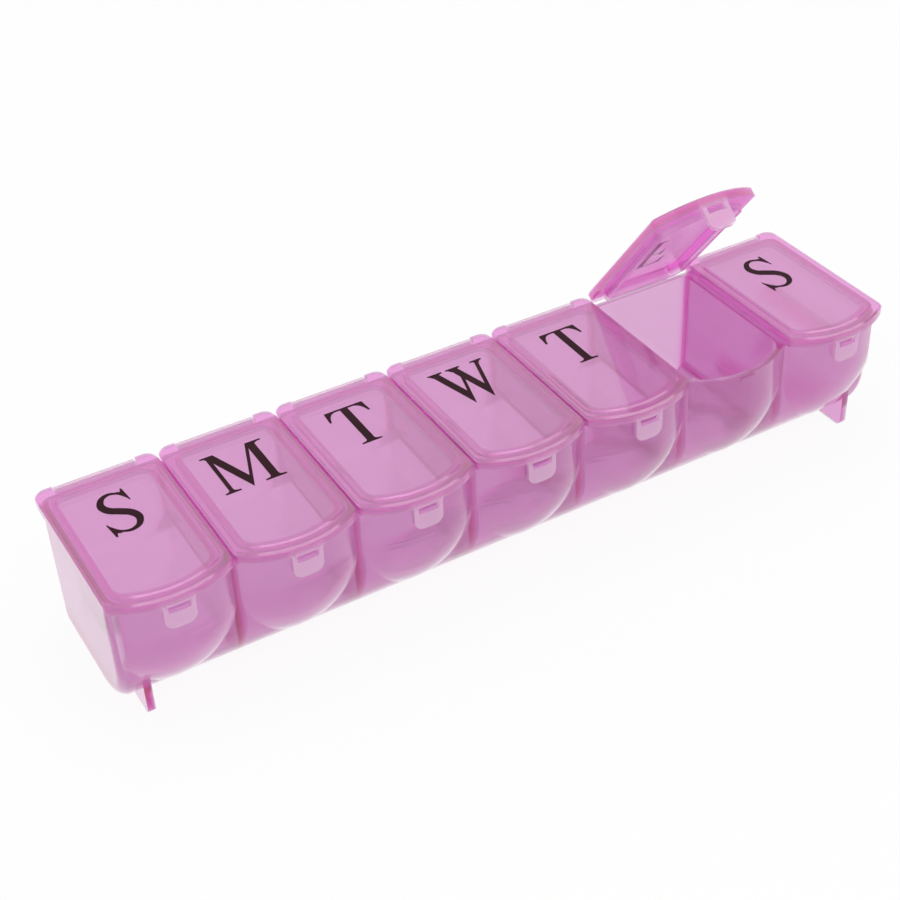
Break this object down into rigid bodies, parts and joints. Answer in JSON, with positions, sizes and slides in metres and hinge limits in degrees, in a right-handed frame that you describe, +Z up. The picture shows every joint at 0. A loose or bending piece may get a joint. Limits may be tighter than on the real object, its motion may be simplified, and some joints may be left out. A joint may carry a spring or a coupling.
{
  "type": "weekly pill organizer",
  "caption": "Long translucent pill box: a row of daily cups with bowed fronts in one tray, each under its own snap lid on a living hinge.",
  "frame": {"origin": "on the resting plane, half way along the tray and half way through the depth of its straight walls", "axes": "+X along the row from the first day to the last, +Y from the latch side to the hinge side, +Z up"},
  "size_m": [0.213, 0.0515, 0.0762],
  "materials": {
    "tray_plastic": "translucent tinted polypropylene, satin moulded face",
    "lid_plastic": "translucent tinted polypropylene, fine satin face",
    "hinge_film": "thin tinted polypropylene film, paler where it is worked"
  },
  "bodies": {
    "tray": {"tray": "tray_plastic", "hinge_sunday": "hinge_film", "hinge_monday": "hinge_film", "hinge_tuesday": "hinge_film", "hinge_wednesday": "hinge_film", "hinge_thursday": "hinge_film", "hinge_friday": "hinge_film", "hinge_saturday": "hinge_film"},
    "lid_sunday": {"lid_sunday": "lid_plastic"},
    "lid_monday": {"lid_monday": "lid_plastic"},
    "lid_tuesday": {"lid_tuesday": "lid_plastic"},
    "lid_wednesday": {"lid_wednesday": "lid_plastic"},
    "lid_thursday": {"lid_thursday": "lid_plastic"},
    "lid_friday": {"lid_friday": "lid_plastic"},
    "lid_saturday": {"lid_saturday": "lid_plastic"}
  },
  "joints": [
    {"name": "sunday_lid_hinge", "type": "hinge", "parent": "tray", "child": "lid_sunday", "pos_m": [-0.0915, 0.0224, 0.036], "axis": [-1, 0, 0], "range_deg": [0, 180], "deforming": ["hinge_sunday"]},
    {"name": "monday_lid_hinge", "type": "hinge", "parent": "tray", "child": "lid_monday", "pos_m": [-0.061, 0.0224, 0.036], "axis": [-1, 0, 0], "range_deg": [0, 180], "deforming": ["hinge_monday"]},
    {"name": "tuesday_lid_hinge", "type": "hinge", "parent": "tray", "child": "lid_tuesday", "pos_m": [-0.0305, 0.0224, 0.036], "axis": [-1, 0, 0], "range_deg": [0, 180], "deforming": ["hinge_tuesday"]},
    {"name": "wednesday_lid_hinge", "type": "hinge", "parent": "tray", "child": "lid_wednesday", "pos_m": [0, 0.0224, 0.036], "axis": [-1, 0, 0], "range_deg": [0, 180], "deforming": ["hinge_wednesday"]},
    {"name": "thursday_lid_hinge", "type": "hinge", "parent": "tray", "child": "lid_thursday", "pos_m": [0.0305, 0.0224, 0.036], "axis": [-1, 0, 0], "range_deg": [0, 180], "deforming": ["hinge_thursday"]},
    {"name": "friday_lid_hinge", "type": "hinge", "parent": "tray", "child": "lid_friday", "pos_m": [0.061, 0.0224, 0.036], "axis": [-1, 0, 0], "range_deg": [-52, 128], "deforming": ["hinge_friday"]},
    {"name": "saturday_lid_hinge", "type": "hinge", "parent": "tray", "child": "lid_saturday", "pos_m": [0.0915, 0.0224, 0.036], "axis": [-1, 0, 0], "range_deg": [0, 180], "deforming": ["hinge_saturday"]}
  ]
}
